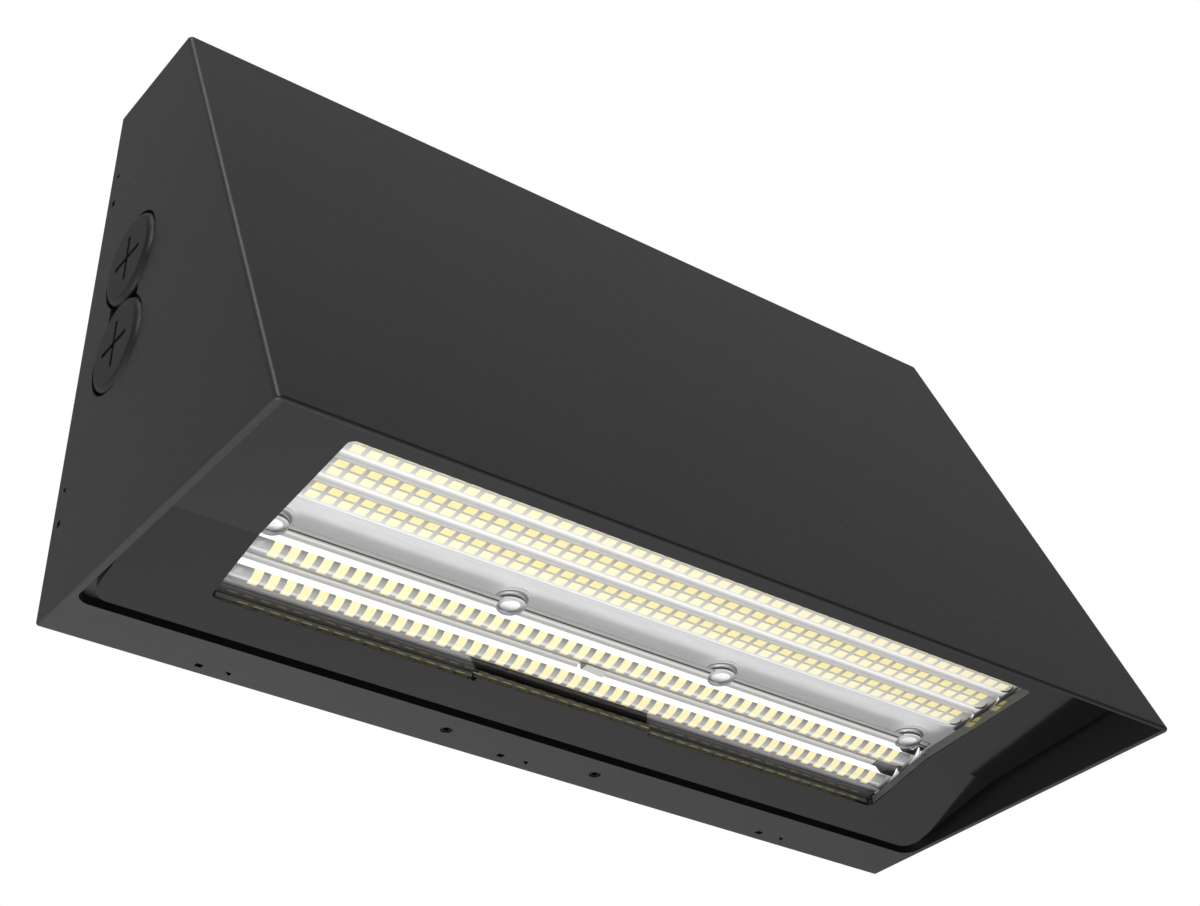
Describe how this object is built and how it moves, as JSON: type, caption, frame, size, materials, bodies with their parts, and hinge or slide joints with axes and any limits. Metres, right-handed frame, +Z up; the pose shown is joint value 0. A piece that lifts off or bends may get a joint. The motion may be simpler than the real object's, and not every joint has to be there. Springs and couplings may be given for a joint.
{
  "type": "wall pack light",
  "caption": "Wedge-shaped outdoor wall light with a hinged die-cast housing, a downward bent lens frame, LED boards behind clear bar lenses and threaded side plugs.",
  "frame": {"origin": "centre of the wire entry on the plane of the wall that the light is bolted to", "axes": "+X along the wall to the right seen from the street, +Y into the wall, +Z up"},
  "size_m": [0.3602, 0.1619, 0.2205],
  "materials": {
    "powder_coat": "matte dark powder coat with a fine grain over die-cast aluminium",
    "zinc_steel": "satin zinc-plated steel",
    "black_steel": "satin black oxide steel",
    "green_steel": "satin green zinc-plated steel",
    "spreader": "matte mill-finish aluminium",
    "board": "satin white mask over an aluminium core",
    "phosphor": "matte yellow phosphor in silicone",
    "lens": "gloss clear acrylic",
    "dark_plastic": "matte dark moulded plastic",
    "white_plastic": "matte white moulded plastic",
    "gasket": "matte black silicone",
    "foam": "matte black closed-cell foam",
    "lead": "satin silicone insulation",
    "driver_white": "satin white painted cover over a potted core"
  },
  "bodies": {
    "wall_box": {"back_plate": "zinc_steel", "wall_gasket": "foam", "ground_screw": "green_steel", "terminal_block": "white_plastic", "terminal_screws": "zinc_steel"},
    "housing": {"housing": "powder_coat", "hinge_pins": "zinc_steel", "lens_frame": "powder_coat", "frame_gasket": "gasket", "frame_screws": "zinc_steel", "window_gasket": "gasket", "front_lens": "lens", "rear_lens": "lens", "front_led_board": "board", "rear_led_board": "board", "front_leds": "phosphor", "rear_leds": "phosphor", "led_carrier": "spreader", "carrier_screws": "zinc_steel", "lens_posts": "lens", "board_connectors": "white_plastic", "led_leads": "lead", "driver_case": "zinc_steel", "driver_cover": "driver_white", "driver_screws": "zinc_steel", "surge_protector": "dark_plastic"},
    "lock_screw_left": {"lock_screw_left": "black_steel"},
    "lock_screw_right": {"lock_screw_right": "black_steel"},
    "upper_left_seal": {"upper_left_seal": "gasket"},
    "upper_left_plug": {"upper_left_plug": "dark_plastic"},
    "lower_left_seal": {"lower_left_seal": "gasket"},
    "lower_left_plug": {"lower_left_plug": "dark_plastic"},
    "upper_right_seal": {"upper_right_seal": "gasket"},
    "upper_right_plug": {"upper_right_plug": "dark_plastic"},
    "lower_right_seal": {"lower_right_seal": "gasket"},
    "lower_right_plug": {"lower_right_plug": "dark_plastic"}
  },
  "joints": [
    {"name": "housing_swing", "type": "hinge", "parent": "wall_box", "child": "housing", "pos_m": [0, -0.0115, 0.1025], "axis": [-1, 0, 0], "range_deg": [0, 60]},
    {"name": "lock_left_release", "type": "slide", "parent": "housing", "child": "lock_screw_left", "axis": [0, 0, -1], "range_m": [0, 0.006]},
    {"name": "lock_right_release", "type": "slide", "parent": "housing", "child": "lock_screw_right", "axis": [0, 0, -1], "range_m": [0, 0.006]},
    {"name": "upper_left_out", "type": "slide", "parent": "housing", "child": "upper_left_seal", "axis": [-1, 0, 0], "range_m": [0, 0.01089]},
    {"name": "upper_left_turn", "type": "hinge", "parent": "upper_left_seal", "child": "upper_left_plug", "pos_m": [-0.177, -0.036, 0.0203], "axis": [-1, 0, 0], "range_deg": [0, 2160]},
    {"name": "lower_left_out", "type": "slide", "parent": "housing", "child": "lower_left_seal", "axis": [-1, 0, 0], "range_m": [0, 0.01089]},
    {"name": "lower_left_turn", "type": "hinge", "parent": "lower_left_seal", "child": "lower_left_plug", "pos_m": [-0.177, -0.036, -0.0167], "axis": [-1, 0, 0], "range_deg": [0, 2160]},
    {"name": "upper_right_out", "type": "slide", "parent": "housing", "child": "upper_right_seal", "axis": [1, 0, 0], "range_m": [0, 0.01089]},
    {"name": "upper_right_turn", "type": "hinge", "parent": "upper_right_seal", "child": "upper_right_plug", "pos_m": [0.177, -0.036, 0.0203], "axis": [1, 0, 0], "range_deg": [0, 2160]},
    {"name": "lower_right_out", "type": "slide", "parent": "housing", "child": "lower_right_seal", "axis": [1, 0, 0], "range_m": [0, 0.01089]},
    {"name": "lower_right_turn", "type": "hinge", "parent": "lower_right_seal", "child": "lower_right_plug", "pos_m": [0.177, -0.036, -0.0167], "axis": [1, 0, 0], "range_deg": [0, 2160]}
  ],
  "couplings": [
    {"joint": "upper_left_out", "follows": "upper_left_turn", "m_per_rad": 0.00028875},
    {"joint": "lower_left_out", "follows": "lower_left_turn", "m_per_rad": 0.00028875},
    {"joint": "upper_right_out", "follows": "upper_right_turn", "m_per_rad": 0.00028875},
    {"joint": "lower_right_out", "follows": "lower_right_turn", "m_per_rad": 0.00028875}
  ]
}
